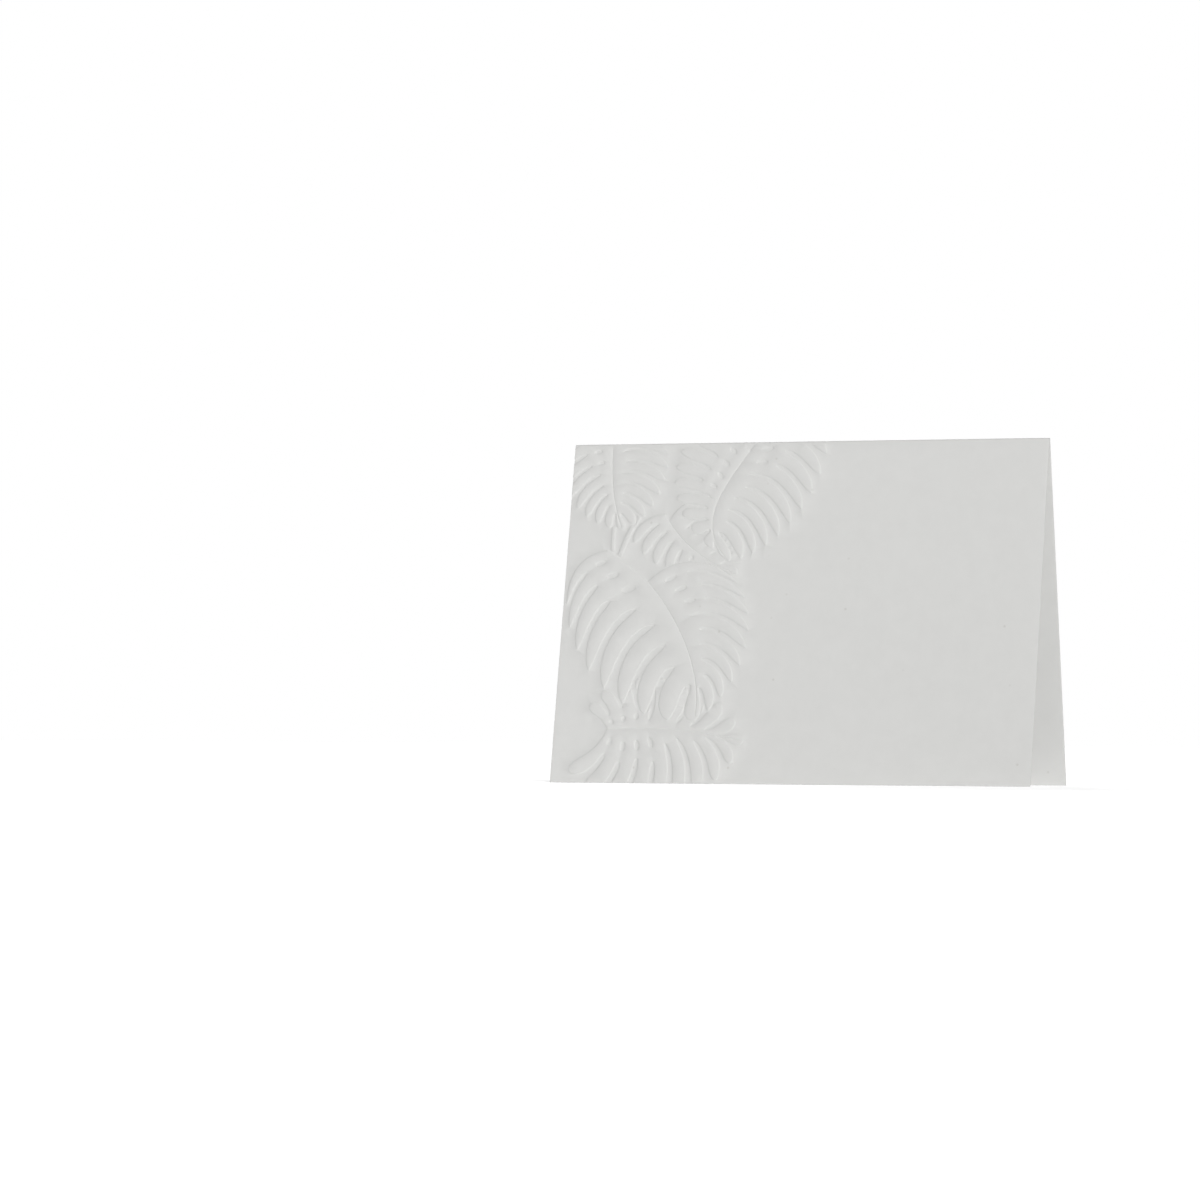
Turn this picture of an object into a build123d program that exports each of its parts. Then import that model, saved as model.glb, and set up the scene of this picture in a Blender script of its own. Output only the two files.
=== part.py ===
"""A folded greeting card of heavy paper, standing as a tent on its two cut edges.

One A5 sheet is creased across its middle and folded once, so that it makes two
A6 landscape panels that meet at a rounded fold along the top. The sheet has the
same thickness everywhere, the fold included, and its four cut edges are square
to its faces.

Frame, in millimetres: +X along the fold, -Y the way the front panel faces, +Z up.
The origin lies on the table, midway between the two edges that the card stands
on and midway along them.
"""

import os

from build123d import *
from math import cos, pi, radians, sin

# Driving dimensions
PANEL_WIDTH = 148.0  # along the fold: the short side of the A5 sheet
SHEET_LENGTH = 210.0  # across the fold, flat: the long side of the A5 sheet
SHEET_THICKNESS = 0.38  # card of about 300 grams a square metre
FOLD_INNER_RADIUS = 0.2  # a creased fold, pressed down by hand
STANDING_ANGLE = 24.0  # degrees between the two panels as the card stands

# Worked out from them
LEAN = radians(STANDING_ANGLE / 2)  # each panel, from the vertical
FOLD_OUTER_RADIUS = FOLD_INNER_RADIUS + SHEET_THICKNESS
FOLD_HALF_TURN = pi / 2 - LEAN  # from the crest to where a panel runs straight
MIDDLE_RADIUS = FOLD_INNER_RADIUS + SHEET_THICKNESS / 2  # keeps its length when bent
PANEL_STRAIGHT = SHEET_LENGTH / 2 - MIDDLE_RADIUS * FOLD_HALF_TURN
FOLD_CENTRE_HEIGHT = PANEL_STRAIGHT * cos(LEAN) - FOLD_INNER_RADIUS * sin(LEAN)

FRONT = -1
BACK = 1


def on_panel(side, radius, down):
    """A point of the section, as (Y, Z): on the front or the back panel, at a
    distance from the fold's centre line, and so far down the straight of it."""
    y = side * (radius * cos(LEAN) + down * sin(LEAN))
    z = FOLD_CENTRE_HEIGHT + radius * sin(LEAN) - down * cos(LEAN)
    return y, z


def bent_line(radius):
    """One face of the sheet in section: up the front, over the fold, down the back."""
    crest = (0, FOLD_CENTRE_HEIGHT + radius)
    front_foot = on_panel(FRONT, radius, PANEL_STRAIGHT)
    front_top = on_panel(FRONT, radius, 0)
    back_top = on_panel(BACK, radius, 0)
    back_foot = on_panel(BACK, radius, PANEL_STRAIGHT)
    return [
        Line(front_foot, front_top),
        ThreePointArc(front_top, crest, back_top),
        Line(back_top, back_foot),
    ]


def cut_edge(side):
    """The sheet's cut end in section, square to its faces."""
    inner_corner = on_panel(side, FOLD_INNER_RADIUS, PANEL_STRAIGHT)
    outer_corner = on_panel(side, FOLD_OUTER_RADIUS, PANEL_STRAIGHT)
    return Line(inner_corner, outer_corner)


def folded_sheet():
    """The whole card: its section, run along the fold for the panel's width."""
    outside = bent_line(FOLD_OUTER_RADIUS)
    inside = bent_line(FOLD_INNER_RADIUS)
    outline = Wire([*outside, cut_edge(BACK), *inside, cut_edge(FRONT)])
    section = Plane.YZ * Face(outline)
    return extrude(section, PANEL_WIDTH / 2, both=True)


card = folded_sheet()
card.label = "card"

os.makedirs("parts", exist_ok=True)
export_step(card, "parts/card.step")

print("fold height", round(FOLD_CENTRE_HEIGHT + FOLD_OUTER_RADIUS, 3))
print("spread at the table", round(2 * on_panel(BACK, FOLD_INNER_RADIUS, PANEL_STRAIGHT)[0], 3))
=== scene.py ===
"""A tent-fold greeting card of heavy uncoated paper, embossed with monstera leaves.

The card is one sheet. It is drawn flat, with its leaves pressed up out of it, given
its thickness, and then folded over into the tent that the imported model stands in.
"""

import math

import bpy
import numpy as np
from mathutils import Euler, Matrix, Vector, geometry, kdtree


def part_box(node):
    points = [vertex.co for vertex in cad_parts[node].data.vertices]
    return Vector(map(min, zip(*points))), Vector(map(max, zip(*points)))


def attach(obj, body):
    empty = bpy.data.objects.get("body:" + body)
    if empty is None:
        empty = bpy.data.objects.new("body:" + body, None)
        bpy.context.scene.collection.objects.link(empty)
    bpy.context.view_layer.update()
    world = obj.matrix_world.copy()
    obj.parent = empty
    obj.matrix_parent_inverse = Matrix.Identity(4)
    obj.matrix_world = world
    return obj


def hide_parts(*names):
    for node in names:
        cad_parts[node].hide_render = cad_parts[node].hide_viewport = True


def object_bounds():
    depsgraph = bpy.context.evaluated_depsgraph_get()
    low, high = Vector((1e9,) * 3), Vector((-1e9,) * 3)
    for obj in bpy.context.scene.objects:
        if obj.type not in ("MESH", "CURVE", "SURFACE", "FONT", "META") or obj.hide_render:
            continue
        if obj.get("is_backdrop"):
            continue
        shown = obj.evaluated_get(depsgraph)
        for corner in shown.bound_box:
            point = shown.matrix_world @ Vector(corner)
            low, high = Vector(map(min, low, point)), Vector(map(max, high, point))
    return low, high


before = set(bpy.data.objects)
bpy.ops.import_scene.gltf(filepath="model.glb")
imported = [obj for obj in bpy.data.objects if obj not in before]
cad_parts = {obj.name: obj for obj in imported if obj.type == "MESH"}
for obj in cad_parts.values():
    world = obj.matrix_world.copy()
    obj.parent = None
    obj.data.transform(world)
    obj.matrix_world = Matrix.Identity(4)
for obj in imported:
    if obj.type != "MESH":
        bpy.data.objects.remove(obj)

CAD_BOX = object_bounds()
bpy.ops.object.select_all(action="DESELECT")

# ---------------------------------------------------------------- sizes, in metres

MM = 0.001

card_low, card_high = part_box("card")
PANEL_WIDTH = card_high.x - card_low.x  # along the fold
SHEET_LENGTH = 210 * MM  # across the fold, flat
THICKNESS = 0.38 * MM
FOLD_INNER_RADIUS = 0.2 * MM
LEAN = math.radians(12)  # of each panel, from the vertical

MIDDLE_RADIUS = FOLD_INNER_RADIUS + THICKNESS / 2
FOLD_HALF_TURN = math.pi / 2 - LEAN
FOLD_HALF_ARC = MIDDLE_RADIUS * FOLD_HALF_TURN  # flat length of half of the fold
FOLD_CENTRE_HEIGHT = card_high.z - FOLD_INNER_RADIUS - THICKNESS

# The embossing, in millimetres on the flat panel
RAISED = 0.2  # how far a leaf stands out of the sheet
WALL = 0.44  # width of the slope round a leaf
GAP = 0.6  # sunk margin that sets a leaf off from the one behind it
MIDRIB_DEPTH = 0.13  # of the groove along the middle of a leaf
MIDRIB_HALF_WIDTH = 0.4
MIDRIB_TIP_SHARE = 0.6  # of its width that the groove still has at its end
MIDRIB_END = 0.97  # share of the midrib's curve, a little short of the leaf's tip
CREASE_FADE = 0.7  # the fold presses the leaves flat this near to it

# A leaf's cuts and holes. A share across is of the distance from one lobe to the next,
# and a share out is of the way from the midrib to the tips of the lobes
CUT_START = 0.2  # share out
CUT_START_PAST_HOLE = 0.42  # share out, where there is a hole nearer the midrib
CUT_START_WANDER = 0.04  # share out, more or less, so that no two cuts are quite alike
CUT_END_ROUNDING = 0.16  # share of the cut's length
EDGE_PAST_CUT = 0.13  # share across, from the middle of a cut to the lobe past it
EDGE_BEFORE_CUT = 0.16  # and to the lobe before it
TIP_START = 0.7  # share of the cut's length, where the lobe past it begins to close
TIP_LENGTH = 0.3
TIP_BEND = 6  # the power that the edge of the lobe before it closes with
HOLE_CENTRE = 0.22  # share out
HOLE_WANDER = 0.03
HOLE_HALF_WIDTH = 0.17  # share across
HOLE_HALF_LENGTH = 0.07  # share out

# The mesh, in millimetres
STEP = 0.37  # spacing of the points along a line of the drawing
PLAIN_STEP = 4.0  # spacing of the points where the sheet is plain
PLAIN_ROOM = 1.5  # a point of the plain sheet has no other nearer than this
EDGE_STEP = 3.0  # spacing of the points along a plain edge
LEAFY_WIDTH = 80  # the leaves reach no farther right than this
CLOSEST = 0.13  # no two points of the sheet are nearer than this
FOLD_COLUMNS = 75
FOLD_ROWS = 11
SMOOTH_BELOW = math.radians(35)  # angle between faces past which an edge stays sharp


# ---------------------------------------------------------------- curves of the drawing


def bezier(points, t):
    """The point at t of the curve with these control points; t may be an array."""
    rows = [np.array(p, float) for p in points]
    t = np.asarray(t, float)[..., None]
    while len(rows) > 1:
        rows = [a + (b - a) * t for a, b in zip(rows, rows[1:])]
    return rows[0] * np.ones_like(t)


def smooth(x):
    """0 below 0, 1 above 1, and an even slope between."""
    x = np.clip(x, 0, 1)
    return x * x * (3 - 2 * x)


def evenly(points, step, closed=False):
    """The same line with its points the same distance apart."""
    points = np.asarray(points)
    if closed:
        points = np.vstack([points, points[:1]])
    run = np.concatenate([[0], np.cumsum(np.linalg.norm(np.diff(points, axis=0), axis=1))])
    count = max(4, int(round(run[-1] / step)))
    at = np.linspace(0, run[-1], count + 1)
    line = np.column_stack([np.interp(at, run, points[:, i]) for i in (0, 1)])
    return line[:-1] if closed else line


def sideways(line, closed):
    """The unit normal to the left of the line, at each of its points."""
    if closed:
        along = np.roll(line, -1, axis=0) - np.roll(line, 1, axis=0)
    else:
        along = np.gradient(line, axis=0)
    along /= np.linalg.norm(along, axis=1)[:, None]
    return np.column_stack([-along[:, 1], along[:, 0]])


class Side:
    """One half of a leaf blade: a fan of lobes that leave the midrib one after another.

    A place in the fan is (lobe, out): lobe counts the lobes from the leaf's base, and
    may fall between two, and out runs from 0 on the midrib to 1 at the lobes' tips.
    """

    def __init__(self, midrib, hand, rim, roots, lobes, holed=0, arch=0.3):
        self.midrib, self.hand, self.rim, self.roots = midrib, hand, rim, roots
        self.lobes, self.holed, self.arch = lobes, holed, arch

    def place(self, lobe, out):
        lobe, out = np.broadcast_arrays(np.asarray(lobe, float), np.asarray(out, float))
        first, last = self.roots
        share = lobe / self.lobes
        start = bezier(self.midrib, np.clip(first + (last - first) * share, 0, 1))
        end = bezier(self.rim, share)
        chord = end - start
        bulge = self.hand * self.arch * np.column_stack([chord[:, 1], -chord[:, 0]])
        bulge *= np.clip(self.lobes - lobe, 0, 1)[:, None]
        middle = start + 0.45 * chord + bulge
        t = out[:, None]
        return start * (1 - t) ** 2 + middle * 2 * t * (1 - t) + end * t**2

    def cut_start(self, gap):
        """How far out the cut between two lobes begins: the first ones leave room for a hole."""
        wander = CUT_START_WANDER * math.sin(2.3 * gap + self.rim[0][0])
        return (CUT_START_PAST_HOLE if gap < self.holed else CUT_START) + wander

    def outline(self):
        """From the leaf's base to its tip, in and out of the cuts between the lobes."""
        runs = []
        for lobe in range(self.lobes + 1):
            begin = self.cut_start(lobe - 1) if lobe else 0.0
            s = np.linspace(0, 1, 40)
            neck = np.sqrt(np.clip(s / CUT_END_ROUNDING, 0, 1)) if lobe else np.ones_like(s)
            shoulder = 1 - np.sqrt(1 - np.clip((s - TIP_START) / TIP_LENGTH, 0, 1) ** 2)
            half = EDGE_PAST_CUT * neck + (0.5 - EDGE_PAST_CUT) * shoulder
            runs.append(self.place(lobe - 0.5 + half, begin + (1 - begin) * s))
            if lobe < self.lobes:
                begin = self.cut_start(lobe)
                s = s[::-1][1:]
                neck = np.sqrt(np.clip(s / CUT_END_ROUNDING, 0, 1))
                half = EDGE_BEFORE_CUT * neck + (0.5 - EDGE_BEFORE_CUT) * s**TIP_BEND
                runs.append(self.place(lobe + 0.5 - half, begin + (1 - begin) * s))
        return np.vstack(runs)

    def holes(self):
        """An oval between two lobes, near the midrib, where the cut starts farther out."""
        turn = np.linspace(0, 2 * math.pi, 24, endpoint=False)
        across, out = HOLE_HALF_WIDTH * np.cos(turn), HOLE_HALF_LENGTH * np.sin(turn)
        for gap in range(self.holed):
            centre = HOLE_CENTRE + HOLE_WANDER * math.sin(1.7 * gap + self.rim[0][0])
            yield self.place(gap + 0.5 + across, centre + out)


def leaf(midrib, right, left):
    """A monstera leaf: its outline with its holes, and its midrib.

    midrib and the sides' rims are control points in millimetres, right and down from
    the panel's top left corner. Each rim runs from the first lobe's tip to the leaf's,
    and roots says where on the midrib the first lobe and the last leave it.
    """
    sides = [Side(midrib, 1, **right), Side(midrib, -1, **left)]
    ring = np.vstack([sides[0].outline(), sides[1].outline()[::-1]])
    holes = [hole for side in sides for hole in side.holes()]
    groove = bezier(midrib, np.linspace(0, MIDRIB_END, 60))
    return {"rings": [ring, *holes], "midrib": groove}


def stalk(points, half_width):
    """A leaf stalk: a narrow raised band along a curve."""
    line = bezier(points, np.linspace(0, 1, 40))
    out = sideways(line, closed=False) * half_width
    return {"rings": [np.vstack([line + out, (line - out)[::-1]])], "midrib": None}


# The group of leaves, from the one farthest behind to the one in front
LEAVES = [
    leaf(  # behind the middle, between the upper leaf and the large one
        midrib=[(30, 21), (33, 28), (42, 37), (54.5, 41)],
        right=dict(rim=[(46, 18), (54, 24), (58, 33), (54.5, 41)], roots=(0.2, 0.85), lobes=6),
        left=dict(rim=[(21, 31), (28, 40), (42, 46), (54.5, 41)], roots=(0.1, 0.85), lobes=7,
                  arch=0.3),
    ),
    leaf(  # along the bottom
        midrib=[(17, 88.6), (28, 88), (42, 88), (60, 92)],
        right=dict(rim=[(6, 102), (22, 122), (54, 112), (60, 92)], roots=(0, 0.85), lobes=9,
                   holed=4, arch=0.25),
        left=dict(rim=[(11, 81), (20, 66), (54, 72), (60, 92)], roots=(0, 0.85), lobes=9,
                  holed=3, arch=0.2),
    ),
    stalk([(14.4, 26), (14.2, 30), (14.6, 34)], 0.6),
    stalk([(23, 22), (19, 27), (17, 35)], 0.7),
    leaf(  # at the top, right of the middle
        midrib=[(62, -6), (50, 12), (38, 24), (51.5, 37)],
        right=dict(rim=[(80, 4), (76, 24), (62, 36), (51.5, 37)], roots=(0.06, 0.78), lobes=9,
                   holed=3, arch=0.42),
        left=dict(rim=[(39, -6), (29, 6), (29, 24), (51.5, 37)], roots=(0.2, 0.85), lobes=9,
                  holed=4, arch=0.15),
    ),
    leaf(  # in the top left corner
        midrib=[(12.3, -6), (11.8, 6), (12.5, 17), (17, 27)],
        right=dict(rim=[(29, -1), (33, 10), (27, 24), (17, 27)], roots=(0.15, 0.85), lobes=8,
                   holed=1),
        left=dict(rim=[(-6, 2), (-4, 18), (6, 26), (17, 27)], roots=(0.1, 0.85), lobes=8,
                  holed=3),
    ),
    leaf(  # the large one in front
        midrib=[(9, 32), (25, 35), (48, 66), (44, 86)],
        right=dict(rim=[(55, 44), (64, 56), (58, 78), (44, 86)], roots=(0.36, 0.85), lobes=9,
                   holed=3, arch=0.42),
        left=dict(rim=[(1, 50), (3, 70), (22, 88), (44, 86)], roots=(0.12, 0.85), lobes=8,
                  holed=3, arch=0.4),
    ),
]


# ---------------------------------------------------------------- the sheet, drawn flat

# A place on the flat sheet is in millimetres: right from its left edge, and down from
# the fold's centre line, so that the back panel's places have a negative down.
WIDE = PANEL_WIDTH / MM
TALL = SHEET_LENGTH / MM / 2
HALF_ARC = FOLD_HALF_ARC / MM
THICK = THICKNESS / MM
EDGE_ROUNDING = 0.04  # how far the cut edges are rounded off
EDGE_BAND = 0.3  # how far in from an edge its rounding begins
MARGIN = 2  # round a leaf, past which it changes nothing
FINE = 0.1  # spacing of the samples that distances are measured to
COARSE = 0.35  # spacing of the rings that are tested for what is inside them


def tree_of(points):
    tree = kdtree.KDTree(len(points))
    for i, (right, down) in enumerate(points):
        tree.insert((right, down, 0), i)
    tree.balance()
    return tree


def nearest(tree, points):
    """How far each point is from the tree's nearest, and which that is."""
    found = [tree.find((right, down, 0)) for right, down in points]
    return np.array([f[2] for f in found]), np.array([f[1] for f in found], int)


def inside(points, rings):
    """Which points are inside the rings, where a ring within another is a hole."""
    right, down = points.T
    odd = np.zeros(len(points), bool)
    for ring in rings:
        for (r0, d0), (r1, d1) in zip(ring, np.roll(ring, -1, axis=0)):
            if d0 != d1:
                level = (d0 > down) != (d1 > down)
                odd ^= level & (right < (r1 - r0) * (down - d0) / (d1 - d0) + r0)
    return odd


def measure(shape):
    """Adds to a leaf what its relief is worked out from."""
    edges = [evenly(ring, FINE, closed=True) for ring in shape["rings"]]
    shape["edge"] = tree_of(np.vstack(edges))
    shape["rings"] = [evenly(ring, COARSE, closed=True) for ring in shape["rings"]]
    if shape["midrib"] is not None:
        shape["midrib"] = evenly(shape["midrib"], FINE)
        shape["taper"] = np.linspace(1, MIDRIB_TIP_SHARE, len(shape["midrib"]))
        shape["groove"] = tree_of(shape["midrib"])
    corners = np.vstack(shape["rings"])
    shape["low"], shape["high"] = corners.min(0) - MARGIN, corners.max(0) + MARGIN


for shape in LEAVES:
    measure(shape)


def relief(points):
    """How far the sheet's outer face stands out at each place, in millimetres."""
    height = np.zeros(len(points))
    for shape in LEAVES:
        near = np.all((points > shape["low"]) & (points < shape["high"]), axis=1)
        if not near.any():
            continue
        some = points[near]
        away, _ = nearest(shape["edge"], some)
        within = np.where(inside(some, shape["rings"]), away, -away)
        blade = smooth(within / WALL + 0.5)
        clear = smooth((-within - WALL / 2) / GAP)
        top = np.full(len(some), RAISED)
        if shape["midrib"] is not None:
            off, which = nearest(shape["groove"], some)
            half = MIDRIB_HALF_WIDTH * shape["taper"][which]
            top -= MIDRIB_DEPTH * np.clip(1 - (off / half) ** 2, 0, 1) ** 2
        height[near] = height[near] * clear * (1 - blade) + top * blade
    return height * smooth((points[:, 1] - HALF_ARC) / CREASE_FADE)


def edge_rounding(points):
    """How far each place is below the flat because the cut edges are rounded off."""
    right, down = points.T
    inward = np.minimum.reduce([right, WIDE - right, TALL - down, TALL + down])
    return EDGE_ROUNDING * np.clip(1 - inward / EDGE_BAND, 0, 1) ** 2


class Places:
    """The places that the sheet's mesh goes through, none too near to another."""

    def __init__(self):
        self.kept, self.cells, self.links = [], {}, []

    def cell(self, place):
        return int(place[0] // CLOSEST), int(place[1] // CLOSEST)

    def is_free(self, place, room):
        reach = math.ceil(room / CLOSEST)
        column, row = self.cell(place)
        for i in range(column - reach, column + reach + 1):
            for j in range(row - reach, row + reach + 1):
                other = self.cells.get((i, j))
                if other is not None and math.dist(place, self.kept[other]) < room:
                    return False
        return True

    def add(self, place, room=CLOSEST):
        if not (0 <= place[0] <= WIDE and -TALL <= place[1] <= TALL):
            return
        if self.is_free(place, room):
            self.cells[self.cell(place)] = len(self.kept)
            self.kept.append((float(place[0]), float(place[1])))

    def add_row(self, places):
        """Places joined in a row that the mesh keeps."""
        first = len(self.kept)
        self.kept += [(float(right), float(down)) for right, down in places]
        for i in range(first, len(self.kept)):
            self.cells[self.cell(self.kept[i])] = i
        self.links += [(i, i + 1) for i in range(first, len(self.kept) - 1)]


def rails(line, closed, offsets):
    """Lines beside a line of the drawing, each point with its distance from it."""
    line = evenly(line, STEP, closed)
    out = sideways(line, closed)
    for offset in offsets:
        yield abs(offset), line + out * offset


def draw(places):
    """Adds the places that the leaves' slopes and midribs need, the front leaf's first."""
    slope = [share * WALL for share in (-0.17, 0.17, -0.5, 0.5)]
    groove = [share * MIDRIB_HALF_WIDTH for share in (0, -0.45, 0.45, -0.9, 0.9)]
    slack = 0.04  # how much nearer the outline than its own rail a point may come
    for index, shape in reversed(list(enumerate(LEAVES))):
        in_front = LEAVES[index + 1:]

        def shows(rail):
            """Which points of the rail no leaf in front hides."""
            seen = np.all((rail > -1) & (rail < [WIDE + 1, TALL + 1]), axis=1)
            seen &= rail[:, 1] > HALF_ARC
            for other in in_front:
                hidden = inside(rail, other["rings"])
                far, _ = nearest(other["edge"], rail)
                seen &= ~(hidden & (far > WALL / 2))
            return seen

        for ring in shape["rings"]:
            for reach, rail in rails(ring, True, slope):
                rail = rail[shows(rail)]
                if len(rail):
                    away, _ = nearest(shape["edge"], rail)
                    for place in rail[away > reach - slack]:
                        places.add(place)
        if shape["midrib"] is None:
            continue
        for _, rail in rails(shape["midrib"], False, groove):
            rail = rail[shows(rail)]
            if len(rail):
                away, _ = nearest(shape["edge"], rail)
                for place in rail[inside(rail, shape["rings"]) | (away < WALL)]:
                    places.add(place)


def flat_places():
    """Every place of the flat sheet's mesh, with the rows along its fold and its edges."""
    places = Places()
    columns = np.linspace(0, WIDE, FOLD_COLUMNS)
    for down in np.linspace(-HALF_ARC, HALF_ARC, FOLD_ROWS):
        places.add_row([(right, down) for right in columns])
    for inset in (0, 0.12, EDGE_BAND):
        fine = np.arange(HALF_ARC + 0.2, TALL - inset, STEP)
        coarse = np.arange(HALF_ARC + 1, TALL - inset, EDGE_STEP)
        places.add_row([(inset, down) for down in fine])
        places.add_row([(inset, -down) for down in coarse])
        places.add_row([(WIDE - inset, down) for down in coarse])
        places.add_row([(WIDE - inset, -down) for down in coarse])
        leafy = np.arange(inset, LEAFY_WIDTH, STEP)
        plain = np.append(np.arange(LEAFY_WIDTH + 0.4, WIDE - inset, EDGE_STEP), WIDE - inset)
        places.add_row([(right, TALL - inset) for right in [*leafy, *plain]])
        back = np.linspace(inset, WIDE - inset, 50)
        places.add_row([(right, inset - TALL) for right in back])
    draw(places)
    for right in np.arange(PLAIN_STEP / 2, WIDE, PLAIN_STEP):
        for down in np.arange(PLAIN_STEP / 2 - TALL, TALL, PLAIN_STEP):
            places.add((right, down), room=PLAIN_ROOM)
    return places


def folded(points, heights):
    """Where places of the flat sheet come to when it is folded over, in metres.

    heights are in millimetres, from the sheet's outer face outwards.
    """
    along = -points[:, 1] * MM
    side = np.sign(along)
    turn = np.clip(along / MIDDLE_RADIUS, -FOLD_HALF_TURN, FOLD_HALF_TURN)
    straight = np.clip(np.abs(along) - FOLD_HALF_ARC, 0, None)
    radius = FOLD_INNER_RADIUS + THICKNESS + heights * MM
    return np.column_stack([
        (points[:, 0] - WIDE / 2) * MM,
        radius * np.sin(turn) + side * straight * math.sin(LEAN),
        FOLD_CENTRE_HEIGHT + radius * np.cos(turn) - straight * math.cos(LEAN),
    ])


def make_card():
    """The card as one closed shell: its outer face, extruded inwards, then folded."""
    places = flat_places()
    spots = [Vector(place) for place in places.kept]
    corners, _, triangles = geometry.delaunay_2d_cdt(spots, places.links, [], 0, 1e-5, False)[:3]
    flat = np.array([(c.x, c.y) for c in corners])
    heights = relief(flat)
    mesh = bpy.data.meshes.new("folded_card")
    mesh.from_pydata([(r, d, h) for (r, d), h in zip(flat, heights)], [], triangles)
    card = bpy.data.objects.new("folded_card", mesh)
    bpy.context.scene.collection.objects.link(card)
    bpy.context.view_layer.objects.active = card
    card.select_set(True)

    bpy.ops.object.mode_set(mode="EDIT")
    bpy.ops.mesh.select_all(action="SELECT")
    bpy.ops.mesh.extrude_region_move(TRANSFORM_OT_translate={"value": (0, 0, -THICK)})
    bpy.ops.object.mode_set(mode="OBJECT")

    count = len(mesh.vertices)
    found = np.empty(count * 3)
    mesh.vertices.foreach_get("co", found)
    found = found.reshape(-1, 3)
    outer = np.arange(count) < len(flat)
    rounding = edge_rounding(found[:, :2])
    found[:, 2] += np.where(outer, -rounding, rounding)
    mesh.vertices.foreach_set("co", folded(found[:, :2], found[:, 2]).ravel())
    mesh.update()

    bpy.ops.object.mode_set(mode="EDIT")
    bpy.ops.mesh.select_all(action="SELECT")
    bpy.ops.mesh.normals_make_consistent(inside=False)
    bpy.ops.object.mode_set(mode="OBJECT")
    bpy.ops.object.shade_smooth_by_angle(angle=SMOOTH_BELOW)
    return card


# ---------------------------------------------------------------- materials


def colour(hex_value):
    """An sRGB hex colour as linear red, green, blue and alpha."""
    channels = [int(hex_value[i:i + 2], 16) / 255 for i in (1, 3, 5)]
    linear = [c / 12.92 if c <= 0.04045 else ((c + 0.055) / 1.055) ** 2.4 for c in channels]
    return (*linear, 1)


def node(tree, kind, links=None, **settings):
    """A new node, with its settings, and its inputs set to values or linked to sockets."""
    made = tree.nodes.new(kind)
    for name, value in settings.items():
        setattr(made, name, value)
    for name, value in (links or {}).items():
        if isinstance(value, bpy.types.NodeSocket):
            tree.links.new(value, made.inputs[name])
        else:
            made.inputs[name].default_value = value
    return made


def uncoated_card_stock():
    """Uncoated wood-free card of 300 g/m2: pressed fibres with no clay over them.

    To the eye it is a dead matt off-white with a faint cloudiness where the fibres lie
    thicker, a fine tooth, and a stray darker fibre here and there.
    """
    material = bpy.data.materials.new("uncoated_card_stock")
    material.use_nodes = True
    tree = material.node_tree
    shader = tree.nodes["Principled BSDF"]
    place = node(tree, "ShaderNodeTexCoord").outputs["Object"]

    cloud = node(tree, "ShaderNodeTexNoise", {
        "Vector": place, "Scale": 1 / (5 * MM), "Detail": 4, "Roughness": 0.6})
    tone = node(tree, "ShaderNodeMix", {
        "Factor": cloud.outputs["Fac"], "A": colour("#DADAD8"), "B": colour("#E0E0DE")},
        data_type="RGBA")
    # A fibre shows where the sheet cuts through the middle of a 9 mm cell, as a dot of 1 mm
    cells = node(tree, "ShaderNodeTexVoronoi", {"Vector": place, "Scale": 1 / (9 * MM)})
    fibre = node(tree, "ShaderNodeMapRange", {
        "Value": cells.outputs["Distance"], "From Min": 0.02, "From Max": 0.06,
        "To Min": 0.35, "To Max": 0.0})
    tone = node(tree, "ShaderNodeMix", {
        "Factor": fibre.outputs[0], "A": tone.outputs["Result"], "B": colour("#B9B7B0")},
        data_type="RGBA")
    tree.links.new(tone.outputs["Result"], shader.inputs["Base Color"])

    tooth = node(tree, "ShaderNodeTexNoise", {
        "Vector": place, "Scale": 1 / (0.35 * MM), "Detail": 3, "Roughness": 0.6})
    bump = node(tree, "ShaderNodeBump", {
        "Height": tooth.outputs["Fac"], "Strength": 0.25, "Distance": 0.03 * MM})
    tree.links.new(bump.outputs["Normal"], shader.inputs["Normal"])
    shader.inputs["Roughness"].default_value = 0.9
    shader.inputs["IOR"].default_value = 1.5
    shader.inputs["Specular IOR Level"].default_value = 0.25
    return material


def seen_rays(tree):
    """1 for the rays that the camera sees by: straight, mirrored, or through something."""
    rays = node(tree, "ShaderNodeLightPath")
    seen = node(tree, "ShaderNodeMath", {
        0: rays.outputs["Is Camera Ray"], 1: rays.outputs["Is Glossy Ray"]}, operation="ADD")
    seen = node(tree, "ShaderNodeMath", {
        0: seen.outputs[0], 1: rays.outputs["Is Transmission Ray"]}, operation="ADD")
    return seen.outputs[0]


def white_floor(lift=0.6):
    """A matt painted table top, lifted by this much to white where the camera sees it.

    It is lifted and not replaced, so it keeps the shadow.
    """
    material = bpy.data.materials.new("white_floor")
    material.use_nodes = True
    tree = material.node_tree
    shader = tree.nodes["Principled BSDF"]
    shader.inputs["Base Color"].default_value = colour("#E6E6E6")
    shader.inputs["Roughness"].default_value = 1
    shader.inputs["Specular IOR Level"].default_value = 0
    glow = node(tree, "ShaderNodeMath", {0: seen_rays(tree), 1: lift}, operation="MULTIPLY")
    shader.inputs["Emission Color"].default_value = (1, 1, 1, 1)
    tree.links.new(glow.outputs[0], shader.inputs["Emission Strength"])
    return material


# ---------------------------------------------------------------- stage, light and camera


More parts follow.
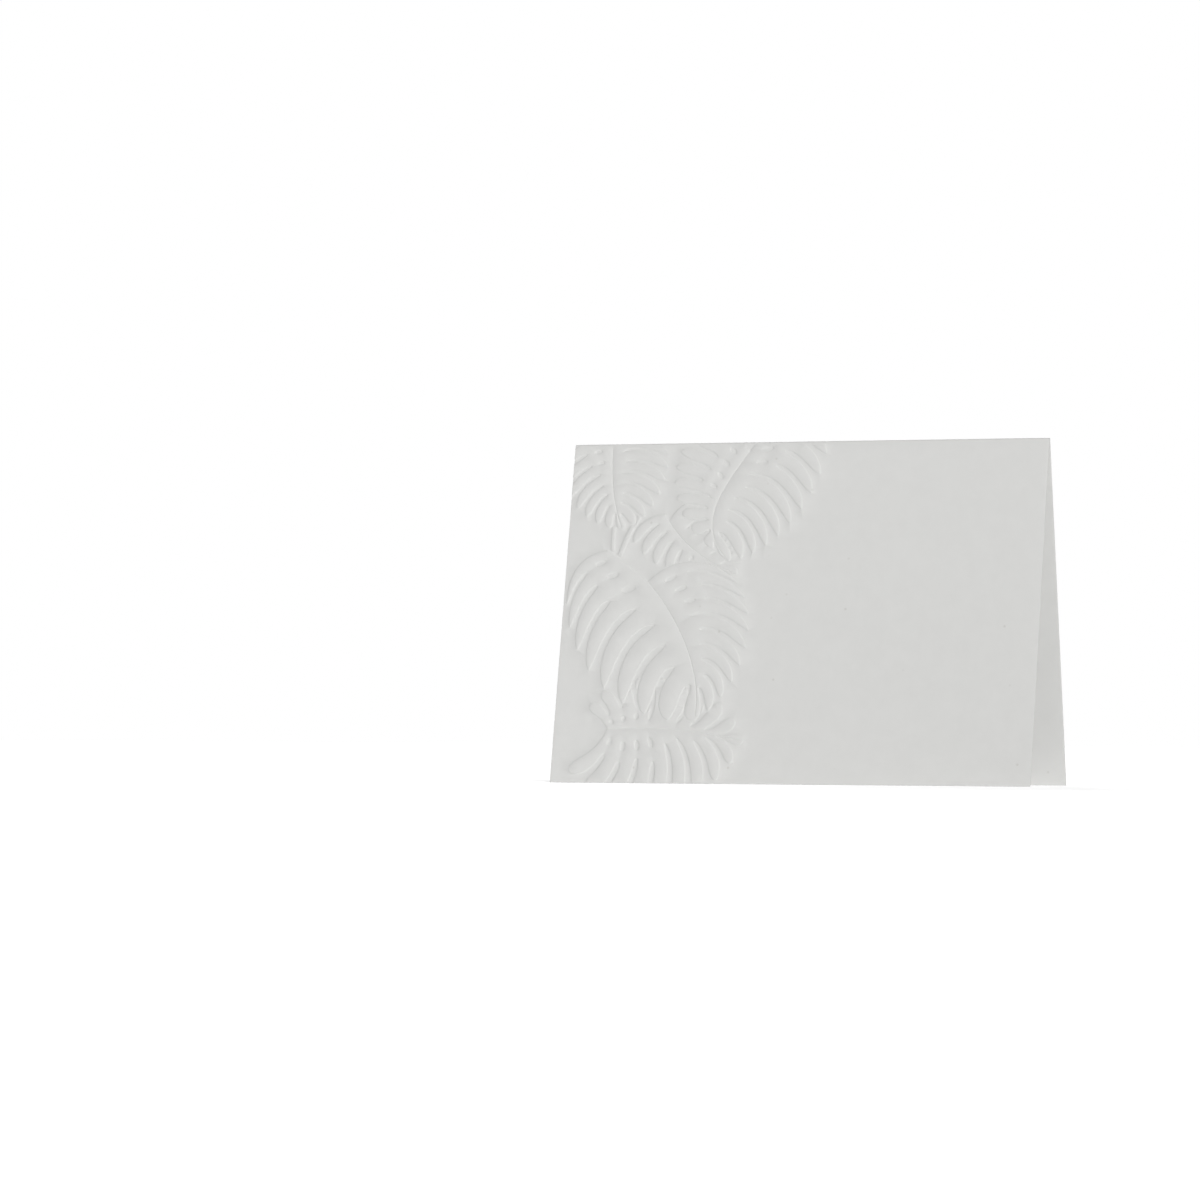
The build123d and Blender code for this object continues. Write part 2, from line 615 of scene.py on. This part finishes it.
def make_floor():
    bpy.ops.mesh.primitive_plane_add(size=60)
    floor = bpy.context.object
    floor.name = "floor"
    floor.data.materials.append(white_floor())
    floor.visible_shadow = False  # the light off the table comes up through it
    floor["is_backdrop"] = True


def make_world(level):
    """Even light from all round at this level, behind a background that is seen as white."""
    world = bpy.data.worlds.new("white_room")
    bpy.context.scene.world = world
    world.use_nodes = True
    tree = world.node_tree
    tree.nodes.clear()
    strength = node(tree, "ShaderNodeMapRange", {
        "Value": seen_rays(tree), "To Min": level, "To Max": 1.0})
    shade = node(tree, "ShaderNodeBackground", {
        "Color": (1, 1, 1, 1), "Strength": strength.outputs[0]})
    node(tree, "ShaderNodeOutputWorld", {"Surface": shade.outputs[0]})


def make_sun(name, towards, strength, softness):
    """A soft lamp far away; towards is the direction that its light comes from."""
    lamp = bpy.data.lights.new(name, "SUN")
    lamp.energy = strength
    lamp.angle = math.radians(softness)
    made = bpy.data.objects.new(name, lamp)
    made.rotation_euler = Vector(towards).to_track_quat("Z", "Y").to_euler()
    bpy.context.scene.collection.objects.link(made)


def make_camera():
    """A long lens just above the table, looking at the card from the right of its front."""
    lens = bpy.data.cameras.new("camera")
    lens.sensor_width = 36
    lens.lens = 145.2
    lens.clip_start, lens.clip_end = 0.05, 100
    camera = bpy.data.objects.new("camera", lens)
    camera.location = (0.4161, -1.3901, 0.0120)
    turn, rise, roll = (math.radians(a) for a in (19.13, 1.69, 0.35))
    camera.rotation_euler = (
        Euler((0, 0, turn)).to_matrix()
        @ Euler((math.pi / 2 + rise, 0, 0)).to_matrix()
        @ Euler((0, 0, roll)).to_matrix()
    ).to_euler()
    bpy.context.scene.collection.objects.link(camera)
    bpy.context.scene.camera = camera


# ---------------------------------------------------------------- the scene

card = make_card()
card.data.materials.append(uncoated_card_stock())
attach(card, "root")
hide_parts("card")

make_floor()
make_world(level=0.06)
make_sun("key", towards=(0.3, -0.5, 0.8), strength=1.3, softness=6)
make_sun("low_side_light", towards=(0.5, -0.85, 0.03), strength=1.27, softness=10)
make_sun("light_off_the_table", towards=(0.5, -0.6, -0.62), strength=0.8, softness=40)
make_sun("back_light", towards=(-0.5, 0.8, 0.5), strength=1.7, softness=30)
make_camera()
bpy.context.scene.view_settings.view_transform = "Standard"

shown_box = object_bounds()
[[list(corner) for corner in box] for box in (CAD_BOX, shown_box)]
